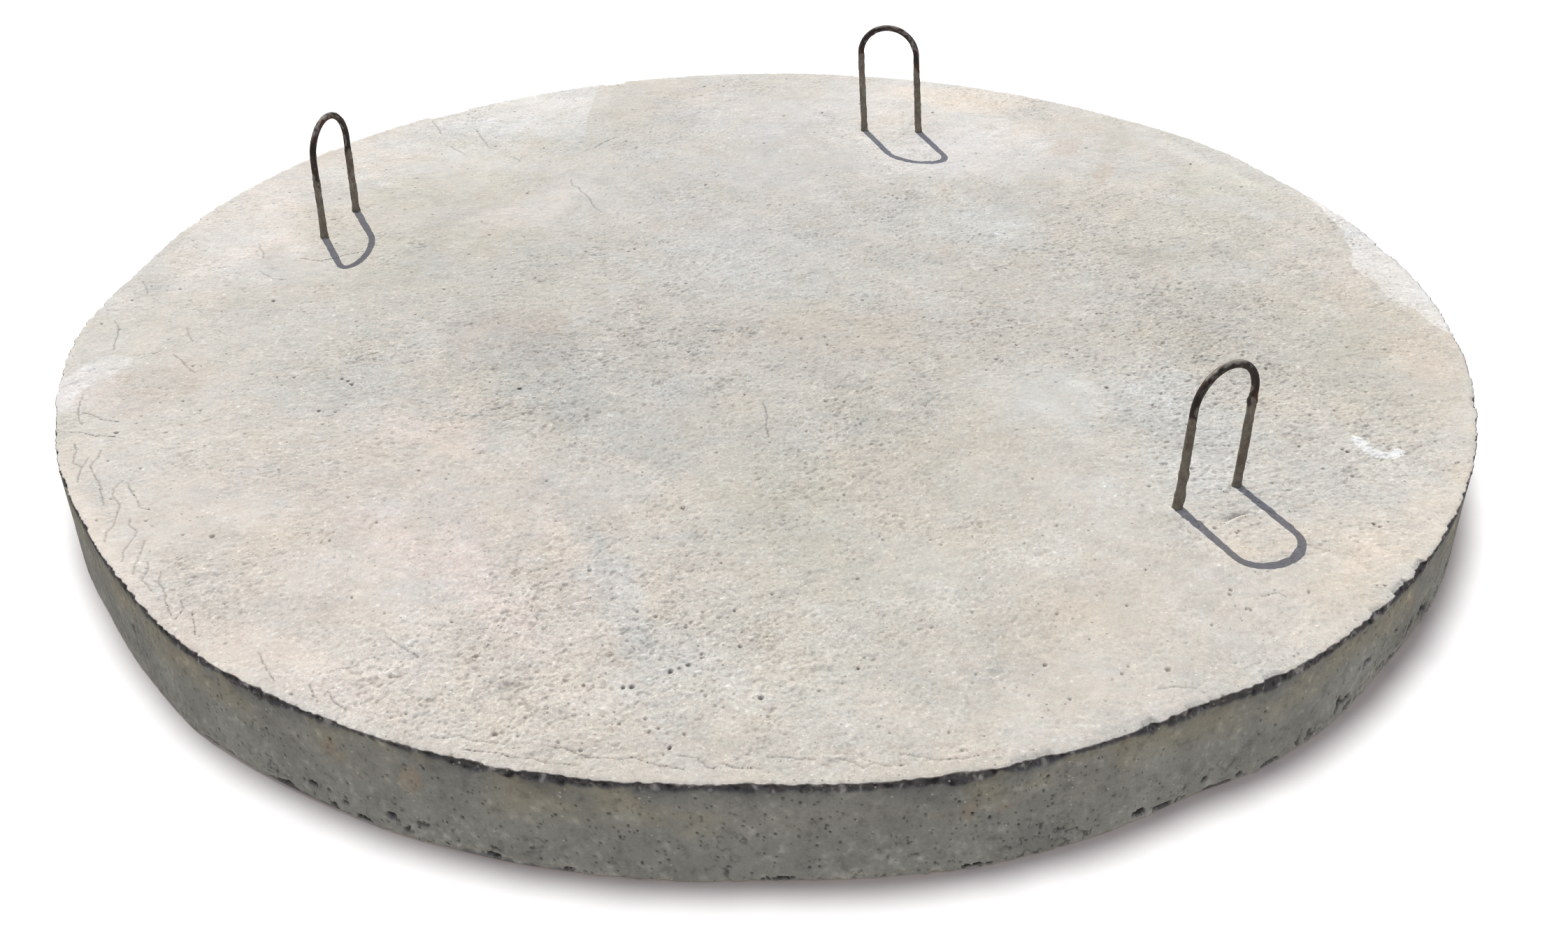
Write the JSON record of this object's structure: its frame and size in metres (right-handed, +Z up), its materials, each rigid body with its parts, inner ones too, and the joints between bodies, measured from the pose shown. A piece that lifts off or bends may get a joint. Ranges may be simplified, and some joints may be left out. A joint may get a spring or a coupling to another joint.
{
  "type": "manhole cover",
  "caption": "Round precast reinforced-concrete manhole cover slab with cast-in steel lifting loops standing on its top and a tied bar mesh inside.",
  "frame": {"origin": "centre of the slab's underside, the face that rests on the manhole wall", "axes": "+Z up through the slab's thickness, from the underside to the face with the lifting loops; +Y away from the viewer in the picture, so one loop stands near the rear at about 72 degrees, one at the left at about 155 and one at the right front at about -41, counted from +X towards +Y"},
  "size_m": [1.5, 1.5, 0.2507],
  "materials": {
    "concrete": "matte",
    "mortar": "matte",
    "loop_steel": "matte",
    "mesh_steel": "matte",
    "tie_wire": "matte"
  },
  "bodies": {
    "root": {"concrete_slab": "concrete", "cover_block_1": "mortar", "cover_block_2": "mortar", "cover_block_3": "mortar", "cover_block_4": "mortar", "cover_block_5": "mortar", "lifting_loop_left": "loop_steel", "lifting_loop_rear": "loop_steel", "lifting_loop_right": "loop_steel", "mesh_bar_lower_1": "mesh_steel", "mesh_bar_lower_2": "mesh_steel", "mesh_bar_lower_3": "mesh_steel", "mesh_bar_lower_4": "mesh_steel", "mesh_bar_lower_5": "mesh_steel", "mesh_bar_lower_6": "mesh_steel", "mesh_bar_lower_7": "mesh_steel", "mesh_bar_lower_8": "mesh_steel", "mesh_bar_lower_9": "mesh_steel", "mesh_bar_upper_1": "mesh_steel", "mesh_bar_upper_2": "mesh_steel", "mesh_bar_upper_3": "mesh_steel", "mesh_bar_upper_4": "mesh_steel", "mesh_bar_upper_5": "mesh_steel", "mesh_bar_upper_6": "mesh_steel", "mesh_bar_upper_7": "mesh_steel", "mesh_bar_upper_8": "mesh_steel", "mesh_bar_upper_9": "mesh_steel", "perimeter_ring_bar": "mesh_steel", "tie_wire_loop_left_a": "tie_wire", "tie_wire_loop_rear_a": "tie_wire", "tie_wire_loop_rear_b": "tie_wire", "tie_wire_loop_right_a": "tie_wire", "tie_wire_loop_right_b": "tie_wire", "tie_wire_mesh_01": "tie_wire", "tie_wire_mesh_02": "tie_wire", "tie_wire_mesh_03": "tie_wire", "tie_wire_mesh_04": "tie_wire", "tie_wire_mesh_05": "tie_wire", "tie_wire_mesh_06": "tie_wire", "tie_wire_mesh_07": "tie_wire", "tie_wire_mesh_08": "tie_wire", "tie_wire_mesh_09": "tie_wire", "tie_wire_mesh_10": "tie_wire", "tie_wire_mesh_11": "tie_wire", "tie_wire_mesh_12": "tie_wire", "tie_wire_mesh_13": "tie_wire", "tie_wire_mesh_14": "tie_wire", "tie_wire_mesh_15": "tie_wire", "tie_wire_mesh_16": "tie_wire", "tie_wire_mesh_17": "tie_wire", "tie_wire_mesh_18": "tie_wire", "tie_wire_mesh_19": "tie_wire", "tie_wire_mesh_20": "tie_wire", "tie_wire_mesh_21": "tie_wire", "tie_wire_ring_1": "tie_wire", "tie_wire_ring_2": "tie_wire", "tie_wire_ring_3": "tie_wire", "tie_wire_ring_4": "tie_wire"}
  },
  "joints": []
}
